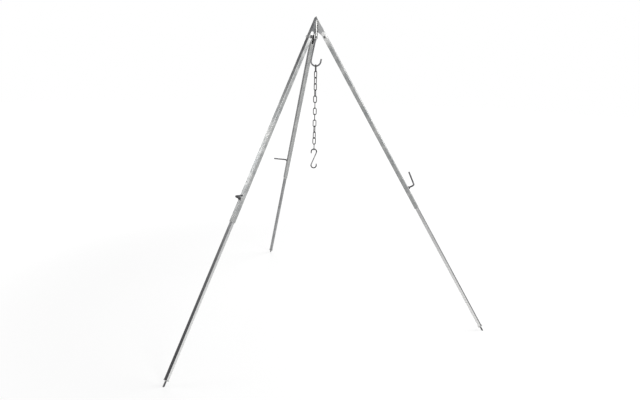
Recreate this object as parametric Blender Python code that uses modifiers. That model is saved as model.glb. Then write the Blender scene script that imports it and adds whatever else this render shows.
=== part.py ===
"""Cooking tripod of galvanised square tube, with a hanging hook, a chain and an S-hook.

Metres, +Z up, floor at z = 0. Everything is built round the tripod's own upright axis, which
is then moved so that the origin lies under the middle of the whole tripod's bounding box.
Each leg has a frame of its own at its pivot bolt: X points out of the leg's outer face,
Y runs along the bolt, and Z runs up the leg.
"""
from math import cos, pi, radians, sin, tan

import bmesh
import bpy
import numpy as np
from mathutils import Matrix, Vector

# The whole tripod
APEX_HEIGHT = 1.500
SPLAY = radians(31.2)
LEG_AZIMUTHS = {"left": radians(210), "right": radians(330), "rear": radians(90)}
GAP = 0.0003

# Upper leg tube
OUTER_SIDE = 0.020
OUTER_WALL = 0.0015
OUTER_CORNER = 0.0027
OUTER_BELOW_PIVOT = 0.920
CHEEK_ABOVE_PIVOT = 0.025
CHEEK_THICKNESS = 0.0014
FOLD_NOTCH_WIDTH = 0.010
FOLD_NOTCH_DEPTH = 0.029

# Lower leg tube, which slides in the upper one
INNER_SIDE = 0.016
INNER_WALL = 0.0012
INNER_CORNER = 0.0024
TUBE_OVERLAP = 0.200

# Foot: a pin with a square plug in the tube's end, and a washer against the end
FOOT_PIN_RADIUS = 0.004
FOOT_PIN_BELOW_WASHER = 0.026
FOOT_PLUG_LENGTH = 0.014
FOOT_WASHER_RADIUS = 0.012
FOOT_WASHER_THICKNESS = 0.002

# Head: three folded channels on a round post
PIVOT_FROM_APEX = 0.102
ARM_WALL = 0.0015
ARM_DEPTH = 0.0172
ARM_WEB_BELOW_PIVOT = 0.012
ARM_KNUCKLE_RADIUS = 0.0072
ARM_FLARE_START = 0.006
ARM_FLARE = radians(20)
FLANGES_FROM_AXIS = 0.0128
POST_RADIUS = 0.0085
POST_SLOT_WIDTH = 0.0056
POST_SLOT_ABOVE_PIN = 0.010
POST_END_BELOW_PIN = 0.009
HOOK_PIN_BELOW_APEX = 0.093

# Pivot bolts of the legs, and the nuts and screws of the clamps
BOLT_RADIUS = 0.004
HEX_ACROSS_FLATS = 0.013
BOLT_HEAD_HEIGHT = 0.0053
NUT_HEIGHT = 0.0065
BOLT_PAST_NUT = 0.0025
WASHER_RADIUS = 0.008
WASHER_THICKNESS = 0.0016
CLAMP_FROM_TUBE_END = 0.107
SCREW_STANDOFF = 0.031
SCREW_BEND_RADIUS = 0.008
SCREW_ARM_LENGTHS = {"left": 0.042, "right": 0.088, "rear": 0.076}
SCREW_ARM_TURNS = {"left": radians(74), "right": radians(50), "rear": radians(80)}

# Hook that hangs on a riveted pin in the post
HOOK_TURN = radians(-19.3)
HOOK_PIN_RADIUS = 0.003
HOOK_PIN_HEAD_RADIUS = 0.0045
HOOK_PIN_HEAD_HEIGHT = 0.0022
HOOK_ROD_RADIUS = 0.0038
HOOK_EYE_RADIUS = 0.0065
HOOK_EYE_THICKNESS = 0.005
HOOK_NECK_WIDTH = 0.009
HOOK_NECK_LENGTH = 0.0155
HOOK_ROD_START = 0.013
HOOK_SHANK_LENGTH = 0.104
HOOK_TILT = radians(11.3)
HOOK_BOWL_RADIUS = 0.0230
HOOK_TIP_LENGTH = 0.015

# Chain
LINK_COUNT = 14
LINK_WIRE_RADIUS = 0.002
LINK_END_RADIUS = 0.007
LINK_PITCH = 0.0288
LINK_TWIST_AT = (1, 2, 4, 6, 10, 14)
LINK_TWISTS = (-15, -40, -40, 0, 0, 90)

# S-hook
S_ROD_RADIUS = 0.003
S_BEND_RADIUS = 0.013
S_CENTRES_APART = 0.0686
S_TIP_LENGTH = 0.009

# Fineness of the round shapes
ROUND_SIDES = 24
ROD_SIDES = 10
WIRE_SIDES = 8
BEND_STEP = radians(15)

# Sizes that follow
BORE_RADIUS = BOLT_RADIUS + GAP
CHANNEL_HALF = OUTER_SIDE / 2 - OUTER_WALL - GAP
ARM_INNER_EDGE = OUTER_SIDE / 2 - ARM_DEPTH
PIVOT_RADIAL = PIVOT_FROM_APEX * sin(SPLAY) - OUTER_SIDE / 2 * cos(SPLAY)
PIVOT_HEIGHT = APEX_HEIGHT - PIVOT_FROM_APEX * cos(SPLAY) - OUTER_SIDE / 2 * sin(SPLAY)
LEG_RUN = PIVOT_HEIGHT / cos(SPLAY)
INNER_END = -LEG_RUN + FOOT_PIN_BELOW_WASHER + FOOT_WASHER_THICKNESS + GAP
INNER_TOP = -OUTER_BELOW_PIVOT + TUBE_OVERLAP
CLAMP_HEIGHT = -OUTER_BELOW_PIVOT + CLAMP_FROM_TUBE_END
WEB_UNDERSIDE = APEX_HEIGHT - ARM_WALL / sin(SPLAY)
HOOK_PIN_HEIGHT = APEX_HEIGHT - HOOK_PIN_BELOW_APEX
BOWL_ALONG = HOOK_BOWL_RADIUS * cos(HOOK_TILT) - HOOK_SHANK_LENGTH * sin(HOOK_TILT)
BOWL_DROP = HOOK_BOWL_RADIUS * sin(HOOK_TILT) + HOOK_SHANK_LENGTH * cos(HOOK_TILT)
HANG_AT = (BOWL_ALONG * cos(HOOK_TURN), BOWL_ALONG * sin(HOOK_TURN))
BOWL_HEIGHT = HOOK_PIN_HEIGHT - BOWL_DROP - HOOK_BOWL_RADIUS
LINK_SPAN = LINK_PITCH + 2 * LINK_WIRE_RADIUS + GAP
REACH = 0.2


def fresh_collection(name):
    """Makes a collection in the scene."""
    collection = bpy.data.collections.new(name)
    bpy.context.scene.collection.children.link(collection)
    return collection


def metal(name, colour, roughness, metallic=1.0):
    """Makes a Principled material of one colour."""
    finish = bpy.data.materials.new(name)
    finish.use_nodes = True
    shader = finish.node_tree.nodes["Principled BSDF"]
    shader.inputs["Base Color"].default_value = (*colour, 1.0)
    shader.inputs["Roughness"].default_value = roughness
    shader.inputs["Metallic"].default_value = metallic
    return finish


def empty(name, location, rotation, parent):
    """Makes a frame that carries pieces. It draws nothing."""
    frame = bpy.data.objects.new(name, None)
    frame.empty_display_size = 0.02
    frame.location = location
    frame.rotation_euler = rotation
    frame.parent = parent
    PART.objects.link(frame)
    return frame


def piece(name, data, finish, parent, location=(0, 0, 0), rotation=(0, 0, 0)):
    """Puts a mesh or a curve in the part as a named piece."""
    if finish.name not in data.materials:
        data.materials.append(finish)
    body = bpy.data.objects.new(name, data)
    body.location = location
    body.rotation_euler = rotation
    body.parent = parent
    PART.objects.link(body)
    return body


def tool(name, data, parent):
    """Puts a mesh among the cutters, which only shape other pieces."""
    body = bpy.data.objects.new(name, data)
    body.parent = parent
    body.hide_render = True
    body.display_type = "WIRE"
    CUTTERS.objects.link(body)
    return body


def combine(body, other, operation="DIFFERENCE"):
    """Cuts a tool out of a piece, or joins the tool to it."""
    step = body.modifiers.new(other.name, "BOOLEAN")
    step.operation = operation
    step.solver = "EXACT"
    step.object = other


def mesh_from(bm, name, smooth=False):
    """Turns a bmesh into a mesh, shaded smooth between sharp edges where that is asked."""
    bmesh.ops.recalc_face_normals(bm, faces=bm.faces)
    mesh = bpy.data.meshes.new(name)
    bm.to_mesh(mesh)
    bm.free()
    if smooth:
        mesh.shade_smooth()
        mesh.set_sharp_from_angle(angle=radians(35))
    return mesh


def block(name, low, high, bevel=0.0):
    """A box from one corner to the other, with its upright edges rounded if that is asked."""
    bm = bmesh.new()
    bmesh.ops.create_cube(bm, size=1.0)
    low, high = Vector(low), Vector(high)
    span = high - low
    bmesh.ops.scale(bm, verts=bm.verts, vec=span)
    bmesh.ops.translate(bm, verts=bm.verts, vec=(low + high) / 2)
    if bevel:
        round_upright_edges(bm, bevel)
    return mesh_from(bm, name)


def round_upright_edges(bm, radius, segments=4):
    """Rounds the edges that run along Z."""
    upright = [e for e in bm.edges if abs((e.verts[0].co - e.verts[1].co).normalized().z) > 0.9]
    bmesh.ops.bevel(bm, geom=upright, offset=radius, segments=segments, profile=0.5,
                    affect="EDGES", offset_type="OFFSET")


def cylinder(name, radius, low, high, axis="Z", sides=ROUND_SIDES):
    """A solid cylinder or prism along X, Y or Z, from low to high on that axis."""
    bm = bmesh.new()
    bmesh.ops.create_cone(bm, cap_ends=True, segments=sides, radius1=radius, radius2=radius,
                          depth=high - low)
    bmesh.ops.translate(bm, verts=bm.verts, vec=(0, 0, (low + high) / 2))
    if axis == "X":
        bmesh.ops.rotate(bm, verts=bm.verts, matrix=Matrix.Rotation(pi / 2, 3, "Y"))
    if axis == "Y":
        bmesh.ops.rotate(bm, verts=bm.verts, matrix=Matrix.Rotation(-pi / 2, 3, "X"))
    return mesh_from(bm, name, smooth=sides > 8)


def hexagon(name, low, high, axis):
    """A hexagonal prism of the nuts' and bolt heads' size."""
    return cylinder(name, HEX_ACROSS_FLATS / 2 / cos(pi / 6), low, high, axis, sides=6)


def square_tube(name, side, wall, corner, low, high, finish, parent):
    """An open square tube along Z: four rounded walls given a thickness inwards."""
    bm = bmesh.new()
    bmesh.ops.create_cube(bm, size=1.0)
    bmesh.ops.scale(bm, verts=bm.verts, vec=(side, side, high - low))
    bmesh.ops.translate(bm, verts=bm.verts, vec=(0, 0, (low + high) / 2))
    round_upright_edges(bm, corner)
    ends = [f for f in bm.faces if abs(f.normal.z) > 0.9]
    bmesh.ops.delete(bm, geom=ends, context="FACES_ONLY")
    tube = piece(name, mesh_from(bm, name, smooth=True), finish, parent)
    shell = tube.modifiers.new("wall", "SOLIDIFY")
    shell.thickness = wall
    shell.offset = -1
    shell.use_even_offset = True
    return tube


def turned(name, profile):
    """A solid of revolution about Z, from its profile in the XZ plane."""
    bm = bmesh.new()
    verts = [bm.verts.new((x, 0, z)) for x, z in profile]
    edges = [bm.edges.new(pair) for pair in zip(verts, verts[1:])]
    bmesh.ops.spin(bm, geom=verts + edges, axis=(0, 0, 1), cent=(0, 0, 0), angle=2 * pi,
                   steps=ROUND_SIDES, use_duplicate=False, use_merge=True)
    bmesh.ops.remove_doubles(bm, verts=bm.verts, dist=1e-6)
    return mesh_from(bm, name, smooth=True)


def cone_topped(name, top, radius, low):
    """A cylinder on the tripod's axis with a cone on top that has the arms' slope."""
    return turned(name, [(0, top), (radius, top - radius / tan(SPLAY)), (radius, low), (0, low)])


def outline(name, points, half_width, matrix):
    """A flat outline given a thickness, as a mesh placed by the matrix."""
    curve = bpy.data.curves.new(name, "CURVE")
    curve.dimensions = "2D"
    curve.fill_mode = "BOTH"
    curve.extrude = half_width
    spline = curve.splines.new("POLY")
    spline.points.add(len(points) - 1)
    for point, (x, y) in zip(spline.points, points):
        point.co = (x, y, 0, 1)
    spline.use_cyclic_u = True
    return welded_mesh(curve, matrix)


def rod_curve(name, points, radius, sides, closed=False):
    """A round rod along points in space."""
    curve = bpy.data.curves.new(name, "CURVE")
    curve.dimensions = "3D"
    curve.bevel_depth = radius
    curve.bevel_resolution = sides // 2 - 2
    curve.use_fill_caps = not closed
    spline = curve.splines.new("POLY")
    spline.points.add(len(points) - 1)
    for point, place in zip(spline.points, points):
        point.co = (*place, 1)
    spline.use_cyclic_u = closed
    spline.use_smooth = True
    return curve


def welded_mesh(curve, matrix=Matrix()):
    """The mesh of a curve with its caps welded on."""
    carrier = bpy.data.objects.new(curve.name, curve)
    CUTTERS.objects.link(carrier)
    graph = bpy.context.evaluated_depsgraph_get()
    mesh = bpy.data.meshes.new_from_object(carrier.evaluated_get(graph))
    bpy.data.objects.remove(carrier)
    bm = bmesh.new()
    bm.from_mesh(mesh)
    bmesh.ops.remove_doubles(bm, verts=bm.verts, dist=1e-6)
    bmesh.ops.transform(bm, matrix=matrix, verts=bm.verts)
    return mesh_from(bm, curve.name, smooth=True)


def arc(centre, radius, start, end):
    """Points along an arc in the XZ plane, both ends among them."""
    steps = max(2, round(abs(end - start) / BEND_STEP)) + 1
    return [(centre[0] + radius * cos(a), 0.0, centre[1] + radius * sin(a))
            for a in np.linspace(start, end, steps)]


def bored(body, name, parent, radius, low, high, axis):
    """Drills a round hole along an axis."""
    combine(body, tool(name + "_bore", cylinder(name + "_bore", radius, low, high, axis), parent))


def sector_cuts(body, name, azimuth):
    """Mitres an arm of the head, so that it keeps to its third of the circle."""
    for side in (-1, 1):
        face = azimuth + side * pi / 3
        mesh = block(f"{name}_mitre", (-REACH, -GAP / 2, -REACH), (REACH, REACH, REACH))
        mitre = tool(f"{name}_mitre_{side}", mesh, AXIS)
        mitre.location = (0, 0, APEX_HEIGHT)
        mitre.rotation_euler = (0, 0, face if side > 0 else face + pi)
        combine(body, mitre)


def head_arm(side, leg):
    """A folded channel: its web lies over the leg, and its flanges reach in between the cheeks."""
    name = f"head_arm_{side}"
    outer = OUTER_SIDE / 2
    knuckle = [(ARM_KNUCKLE_RADIUS * cos(a), ARM_KNUCKLE_RADIUS * sin(a))
               for a in np.linspace(pi, 1.5 * pi, 7)]
    past_apex = PIVOT_FROM_APEX + OUTER_SIDE
    flared = ARM_INNER_EDGE - (past_apex - ARM_FLARE_START) * tan(ARM_FLARE)
    side_view = [(outer, -ARM_WEB_BELOW_PIVOT), (outer, past_apex), (flared, past_apex),
                 (ARM_INNER_EDGE, ARM_FLARE_START), *knuckle,
                 (ARM_WEB_BELOW_PIVOT - ARM_KNUCKLE_RADIUS, -ARM_WEB_BELOW_PIVOT)]
    upright = Matrix.Rotation(pi / 2, 4, "X")
    arm = piece(name, outline(name, side_view, CHANNEL_HALF, upright), ZINC_SHEET, leg)
    hollow = CHANNEL_HALF - ARM_WALL
    inside = block(name + "_hollow", (-REACH, -hollow, -REACH), (outer - ARM_WALL, hollow, REACH))
    combine(arm, tool(name + "_hollow", inside, leg))
    bored(arm, name, leg, BORE_RADIUS, -REACH, REACH, "Y")
    sector_cuts(arm, name, LEG_AZIMUTHS[side])
    core = cone_topped(name + "_core", WEB_UNDERSIDE, FLANGES_FROM_AXIS, PIVOT_HEIGHT - REACH)
    combine(arm, tool(name + "_core", core, AXIS))


def pivot_hardware(side, leg):
    """The bolt that a leg turns on, with a washer and a nut at its far end."""
    cheek = OUTER_SIDE / 2 + GAP
    washer_end = cheek + WASHER_THICKNESS
    nut_end = washer_end + GAP + NUT_HEIGHT
    name = f"pivot_bolt_{side}"
    bolt = piece(name, hexagon(name, cheek, cheek + BOLT_HEAD_HEIGHT, "Y"), ZINC_BOLT, leg)
    shaft = cylinder(name + "_shaft", BOLT_RADIUS, -nut_end - BOLT_PAST_NUT,
                     cheek + BOLT_HEAD_HEIGHT / 2, "Y")
    combine(bolt, tool(name + "_shaft", shaft, leg), "UNION")
    name = f"pivot_washer_{side}"
    washer = piece(name, cylinder(name, WASHER_RADIUS, -washer_end, -cheek, "Y"), ZINC_BOLT, leg)
    bored(washer, name, leg, BORE_RADIUS, -REACH, REACH, "Y")
    name = f"pivot_nut_{side}"
    nut = piece(name, hexagon(name, -nut_end, -washer_end - GAP, "Y"), ZINC_BOLT, leg)
    bored(nut, name, leg, BORE_RADIUS, -REACH, REACH, "Y")


def outer_tube(side, leg):
    """Upper leg: its top is two rounded cheeks, where its outer and inner walls are cut away."""
    name = f"outer_tube_{side}"
    half = OUTER_SIDE / 2
    tube = square_tube(name, OUTER_SIDE, OUTER_WALL, OUTER_CORNER, -OUTER_BELOW_PIVOT,
                       CHEEK_ABOVE_PIVOT, ZINC_TUBE, leg)
    between = half - CHEEK_THICKNESS
    shoulder = CHEEK_ABOVE_PIVOT - half
    rim = [(half * cos(a), shoulder + half * sin(a)) for a in np.linspace(0, pi, 13)]
    beyond = OUTER_SIDE
    crown = [(beyond, shoulder), *rim, (-beyond, shoulder), (-beyond, shoulder + beyond),
             (beyond, shoulder + beyond)]
    upright = Matrix.Rotation(pi / 2, 4, "X")
    combine(tube, tool(name + "_crown", outline(name + "_crown", crown, beyond, upright), leg))
    top = CHEEK_ABOVE_PIVOT + beyond
    front_edge = -ARM_WEB_BELOW_PIVOT - GAP
    fork = [(-beyond, 0), (0, 0), (0, front_edge), (beyond, front_edge), (beyond, top),
            (-beyond, top)]
    combine(tube, tool(name + "_fork", outline(name + "_fork", fork, between, upright), leg))
    notch_end = FOLD_NOTCH_WIDTH / 2
    notch_rim = [(notch_end * cos(a), notch_end - FOLD_NOTCH_DEPTH + notch_end * sin(a))
                 for a in np.linspace(-pi, 0, 13)]
    notch = [*notch_rim, (notch_end, GAP), (-notch_end, GAP)]
    facing = Matrix.Translation((-half, 0, 0)) @ Matrix.Rotation(pi / 2, 4, "Z") @ upright
    notch_mesh = outline(name + "_notch", notch, between, facing)
    combine(tube, tool(name + "_notch", notch_mesh, leg))
    bored(tube, name, leg, BORE_RADIUS, -REACH, REACH, "Y")
    hole = cylinder(name + "_screw_hole", BORE_RADIUS, 0, beyond, "X")
    hole_tool = tool(name + "_screw_hole", hole, leg)
    hole_tool.location = (0, 0, CLAMP_HEIGHT)
    combine(tube, hole_tool)


def clamp(side, leg):
    """The nut welded on the outer tube, and the bent screw that presses on the inner tube."""
    face = OUTER_SIDE / 2
    name = f"clamp_nut_{side}"
    nut = piece(name, hexagon(name, face + GAP, face + GAP + NUT_HEIGHT, "X"), ZINC_DARK, leg,
                (0, 0, CLAMP_HEIGHT))
    hole = tool(name + "_bore", cylinder(name + "_bore", BORE_RADIUS, 0, REACH, "X"), leg)
    hole.location = (0, 0, CLAMP_HEIGHT)
    combine(nut, hole)
    start = INNER_SIDE / 2 + GAP
    arm_at = face + SCREW_STANDOFF
    bend = arc((arm_at - SCREW_BEND_RADIUS, SCREW_BEND_RADIUS), SCREW_BEND_RADIUS, -pi / 2, 0)
    path = [(start, 0, 0), *bend, (arm_at, 0, SCREW_ARM_LENGTHS[side])]
    name = f"clamp_screw_{side}"
    curve = rod_curve(name, path, BOLT_RADIUS, ROD_SIDES)
    piece(name, curve, ZINC_DARK, leg, (0, 0, CLAMP_HEIGHT), (-SCREW_ARM_TURNS[side], 0, 0))


def lower_leg(side, leg):
    """Lower tube with its foot: a pin on a square plug, a washer, and the pin's end cut level."""
    square_tube(f"inner_tube_{side}", INNER_SIDE, INNER_WALL, INNER_CORNER, INNER_END, INNER_TOP,
                ZINC_TUBE, leg)
    washer_top = INNER_END - GAP
    washer_low = washer_top - FOOT_WASHER_THICKNESS
    name = f"foot_washer_{side}"
    washer = piece(name, cylinder(name, FOOT_WASHER_RADIUS, washer_low, washer_top), ZINC_SHEET, leg)
    bored(washer, name, leg, FOOT_PIN_RADIUS + GAP, washer_low - REACH, washer_top + REACH, "Z")
    name = f"foot_pin_{side}"
    plug = INNER_SIDE / 2 - INNER_WALL - GAP
    pin = piece(name, block(name, (-plug, -plug, INNER_END),
                            (plug, plug, INNER_END + FOOT_PLUG_LENGTH), INNER_CORNER - INNER_WALL),
                ZINC_DARK, leg)
    below_floor = -LEG_RUN - OUTER_SIDE
    rod = cylinder(name + "_rod", FOOT_PIN_RADIUS, below_floor, INNER_END + FOOT_PLUG_LENGTH / 2)
    combine(pin, tool(name + "_rod", rod, leg), "UNION")
    floor = block(name + "_floor", (-2 * APEX_HEIGHT, -2 * APEX_HEIGHT, -REACH),
                  (2 * APEX_HEIGHT, 2 * APEX_HEIGHT, 0))
    combine(pin, tool(name + "_floor", floor, AXIS))


def hanger_post():
    """The round post in the middle of the head, with a fork at its foot for the hook's eye."""
    foot = HOOK_PIN_HEIGHT - POST_END_BELOW_PIN
    top = WEB_UNDERSIDE - GAP / sin(SPLAY)
    chamfer = POST_RADIUS / 2
    profile = [(0, top), (POST_RADIUS, top - POST_RADIUS / tan(SPLAY)),
               (POST_RADIUS, foot + chamfer), (POST_RADIUS * 0.85, foot + chamfer / 3),
               (chamfer, foot), (0, foot)]
    post = piece("hanger_post", turned("hanger_post", profile), ZINC_DARK, AXIS)
    slot = tool("hanger_post_slot", block(
        "hanger_post_slot", (-REACH, -POST_SLOT_WIDTH / 2, -REACH),
        (REACH, POST_SLOT_WIDTH / 2, POST_SLOT_ABOVE_PIN)), HOOK_PLACE)
    combine(post, slot)
    bored(post, "hanger_post", HOOK_PLACE, HOOK_PIN_RADIUS + GAP, -REACH, REACH, "Y")


def hook_pin():
    """The rivet through the fork, which the hook swings on."""
    name = "hook_pin"
    inside = POST_RADIUS + GAP
    end = inside + HOOK_PIN_HEAD_HEIGHT
    pin = piece(name, cylinder(name, HOOK_PIN_RADIUS, -end + GAP, end - GAP, "Y"), ZINC_DARK, HOOK_PLACE)
    for side in (-1, 1):
        low, high = sorted((side * inside, side * end))
        head = cylinder(f"{name}_head", HOOK_PIN_HEAD_RADIUS, low, high, "Y")
        combine(pin, tool(f"{name}_head_{side}", head, HOOK_PLACE), "UNION")


def j_hook():
    """A rod with a flattened eye, a straight shank, a half-round bowl and a short tip."""
    name = "j_hook"
    tilted = empty("hook_tilt", (0, 0, 0), (0, HOOK_TILT, 0), HOOK_PLACE)
    shank = -HOOK_SHANK_LENGTH
    bowl = arc((HOOK_BOWL_RADIUS, shank), HOOK_BOWL_RADIUS, pi, 2 * pi)
    path = [(0, 0, -HOOK_ROD_START), *bowl, (2 * HOOK_BOWL_RADIUS, 0, shank + HOOK_TIP_LENGTH)]
    mesh = welded_mesh(rod_curve(name, path, HOOK_ROD_RADIUS, ROD_SIDES))
    hook = piece(name, mesh, ZINC_ROD, tilted)
    half = HOOK_EYE_THICKNESS / 2
    neck = block(name + "_neck", (-HOOK_NECK_WIDTH / 2, -half, -HOOK_NECK_LENGTH),
                 (HOOK_NECK_WIDTH / 2, half, 0))
    combine(hook, tool(name + "_neck", neck, tilted), "UNION")
    eye = cylinder(name + "_eye", HOOK_EYE_RADIUS, -half, half, "Y")
    combine(hook, tool(name + "_eye", eye, tilted), "UNION")
    bored(hook, name, tilted, HOOK_PIN_RADIUS + GAP, -REACH, REACH, "Y")


def link_outline(seat):
    """The closed centre line of a link whose top lies a seat above the rod that it hangs on."""
    top = (0, seat - LINK_END_RADIUS)
    low = (0, seat - LINK_SPAN + LINK_END_RADIUS)
    return [*arc(top, LINK_END_RADIUS, 0, pi), *arc(low, LINK_END_RADIUS, pi, 2 * pi)]


def link_azimuth(number):
    """Links lie crosswise in turn, and the chain is twisted a little at its top and foot."""
    twist = np.interp(number, LINK_TWIST_AT, LINK_TWISTS)
    return HOOK_TURN + pi / 2 * number + radians(float(twist))


def chain():
    """Every link's origin is the middle of the rod or wire that it hangs on."""
    height = BOWL_HEIGHT
    seat = HOOK_ROD_RADIUS + GAP + LINK_WIRE_RADIUS
    curve = rod_curve("first_link", link_outline(seat), LINK_WIRE_RADIUS, WIRE_SIDES, True)
    for number in range(1, LINK_COUNT + 1):
        piece(f"chain_link_{number:02d}", curve, ZINC_CHAIN, AXIS, (*HANG_AT, height),
              (0, 0, link_azimuth(number)))
        height += seat - LINK_SPAN
        if number == 1:
            seat = 2 * LINK_WIRE_RADIUS + GAP
            curve = rod_curve("link", link_outline(seat), LINK_WIRE_RADIUS, WIRE_SIDES, True)
    return height


def s_hook(height):
    """Two bends joined by a straight slanting shank. It hangs from the last link."""
    name = "s_hook"
    seat = LINK_WIRE_RADIUS + GAP + S_ROD_RADIUS
    slant = np.arcsin(2 * S_BEND_RADIUS / S_CENTRES_APART)
    top = (0, seat - S_BEND_RADIUS)
    low = (0, top[1] - S_CENTRES_APART)
    path = [(-S_BEND_RADIUS, 0, top[1] - S_TIP_LENGTH),
            *arc(top, S_BEND_RADIUS, pi, -slant),
            *arc(low, S_BEND_RADIUS, pi - slant, 2 * pi),
            (S_BEND_RADIUS, 0, low[1] + S_TIP_LENGTH)]
    curve = rod_curve(name, path, S_ROD_RADIUS, ROD_SIDES)
    turn = link_azimuth(LINK_COUNT) + pi / 2
    piece(name, curve, ZINC_ROD, AXIS, (*HANG_AT, height), (0, 0, turn))


def centre_on_footprint():
    """Moves the axis so that the part's box has its middle over the origin."""
    graph = bpy.context.evaluated_depsgraph_get()
    corners = []
    for body in PART.objects:
        if body.type != "EMPTY":
            shown = body.evaluated_get(graph)
            shape = shown.to_mesh()
            corners += [shown.matrix_world @ v.co for v in shape.vertices]
            shown.to_mesh_clear()
    spots = np.array(corners)
    middle = (spots.min(axis=0) + spots.max(axis=0)) / 2
    AXIS.location = (-middle[0], -middle[1], 0)


for old in list(bpy.data.objects):
    bpy.data.objects.remove(old)
PART = fresh_collection("cooking_tripod")
CUTTERS = fresh_collection("cutters")
ZINC_TUBE = metal("zinc_tube", (0.60, 0.60, 0.59), 0.38)
ZINC_SHEET = metal("zinc_sheet", (0.55, 0.55, 0.55), 0.40)
ZINC_BOLT = metal("zinc_bolt", (0.70, 0.70, 0.69), 0.28)
ZINC_ROD = metal("zinc_rod", (0.50, 0.50, 0.50), 0.35)
ZINC_DARK = metal("zinc_dark", (0.36, 0.36, 0.35), 0.42)
ZINC_CHAIN = metal("zinc_chain", (0.52, 0.52, 0.52), 0.32)
AXIS = empty("tripod_axis", (0, 0, 0), (0, 0, 0), None)
HOOK_PLACE = empty("hook_place", (0, 0, HOOK_PIN_HEIGHT), (0, 0, HOOK_TURN), AXIS)

for leg_side, leg_azimuth in LEG_AZIMUTHS.items():
    pivot_at = (PIVOT_RADIAL * cos(leg_azimuth), PIVOT_RADIAL * sin(leg_azimuth), PIVOT_HEIGHT)
    leg_frame = empty(f"leg_pivot_{leg_side}", pivot_at, (0, -SPLAY, leg_azimuth), AXIS)
    head_arm(leg_side, leg_frame)
    pivot_hardware(leg_side, leg_frame)
    outer_tube(leg_side, leg_frame)
    clamp(leg_side, leg_frame)
    lower_leg(leg_side, leg_frame)
hanger_post()
hook_pin()
j_hook()
s_hook(chain())
centre_on_footprint()
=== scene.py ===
"""How the cooking tripod looks: galvanised tube, zinc-plated bolts, forged hook and chain.

Metres, +Z up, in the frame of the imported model. Every piece is worked out in the frame of the
leg, hook or link that it belongs to, and then put in its place in its mesh.
"""

from math import asin, cos, pi, radians, sin, tan

import bmesh
import bpy
import numpy as np
from mathutils import Matrix, Vector


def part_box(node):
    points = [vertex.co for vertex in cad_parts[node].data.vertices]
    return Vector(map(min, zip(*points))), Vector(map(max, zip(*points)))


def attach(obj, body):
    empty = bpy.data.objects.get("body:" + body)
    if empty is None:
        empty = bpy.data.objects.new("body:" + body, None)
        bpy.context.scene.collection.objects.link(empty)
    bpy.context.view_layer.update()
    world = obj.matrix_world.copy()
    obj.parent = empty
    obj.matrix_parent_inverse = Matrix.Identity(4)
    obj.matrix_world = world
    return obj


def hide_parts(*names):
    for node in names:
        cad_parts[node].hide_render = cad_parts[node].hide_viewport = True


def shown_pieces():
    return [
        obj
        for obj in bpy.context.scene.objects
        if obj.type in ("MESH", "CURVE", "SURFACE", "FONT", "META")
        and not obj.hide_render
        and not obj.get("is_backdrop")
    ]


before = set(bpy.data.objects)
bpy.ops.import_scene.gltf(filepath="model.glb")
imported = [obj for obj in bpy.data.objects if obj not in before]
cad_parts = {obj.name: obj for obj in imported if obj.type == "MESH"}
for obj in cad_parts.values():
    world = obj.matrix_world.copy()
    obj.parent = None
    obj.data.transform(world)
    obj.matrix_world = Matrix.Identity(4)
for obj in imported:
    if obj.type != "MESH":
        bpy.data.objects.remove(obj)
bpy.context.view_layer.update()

# ---------------------------------------------------------------------------------------------
# Studio: a pale floor that runs out to white, soft lamps at the right, the front, the back and
# overhead, and a small one at the left that the left leg throws back. The camera stands where the
# photograph was taken.

CAMERA_FROM_AXIS = (-0.7831, -2.3234, 1.2987)
CAMERA_BEARING = 4.3716
CAMERA_PITCH = 0.2697
CAMERA_ROLL = 0.0257
FOCAL_LENGTH = 28.18
SENSOR_WIDTH = 36.0
FLOOR_RADIUS = 14.0
FLOOR_SIDES = 96
FLOOR_SEEN = 0.95
FLOOR_BOUNCE = 0.40
ROOM_LIGHT = 0.15
WHITE_GLOW = 1.06
WHITE_FROM = 1.0
WHITE_TO = 2.4
WHITE_LEAST = 0.7

post_low, post_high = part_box("hanger_post")
axis_at = Vector(((post_low[0] + post_high[0]) / 2, (post_low[1] + post_high[1]) / 2, 0))


class Value:
    """An output of a node. Sums, differences and products of Values become Math nodes."""

    def __init__(self, nodes, socket):
        self.nodes, self.socket = nodes, socket

    def math(self, operation, *terms):
        return self.nodes.add("ShaderNodeMath", {"operation": operation}, dict(enumerate(terms)))

    def __add__(self, other):
        return self.math("ADD", self, other)

    def __sub__(self, other):
        return self.math("SUBTRACT", self, other)

    def __rsub__(self, other):
        return self.math("SUBTRACT", other, self)

    def __mul__(self, other):
        return self.math("MULTIPLY", self, other)

    __radd__ = __add__
    __rmul__ = __mul__

    def most(self, other):
        """The larger of two."""
        return self.math("MAXIMUM", self, other)

    def size(self):
        """How far from zero."""
        return self.math("ABSOLUTE", self)

    def part(self, axis):
        """One part of a vector."""
        return self.nodes.add("ShaderNodeSeparateXYZ", {}, {"Vector": self}, axis)

    def step(self, low, high):
        """Zero below low, one above high, and a smooth rise in between."""
        return self.nodes.add("ShaderNodeMapRange", {"interpolation_type": "SMOOTHSTEP"},
                              {"Value": self, "From Min": low, "From Max": high})


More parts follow.
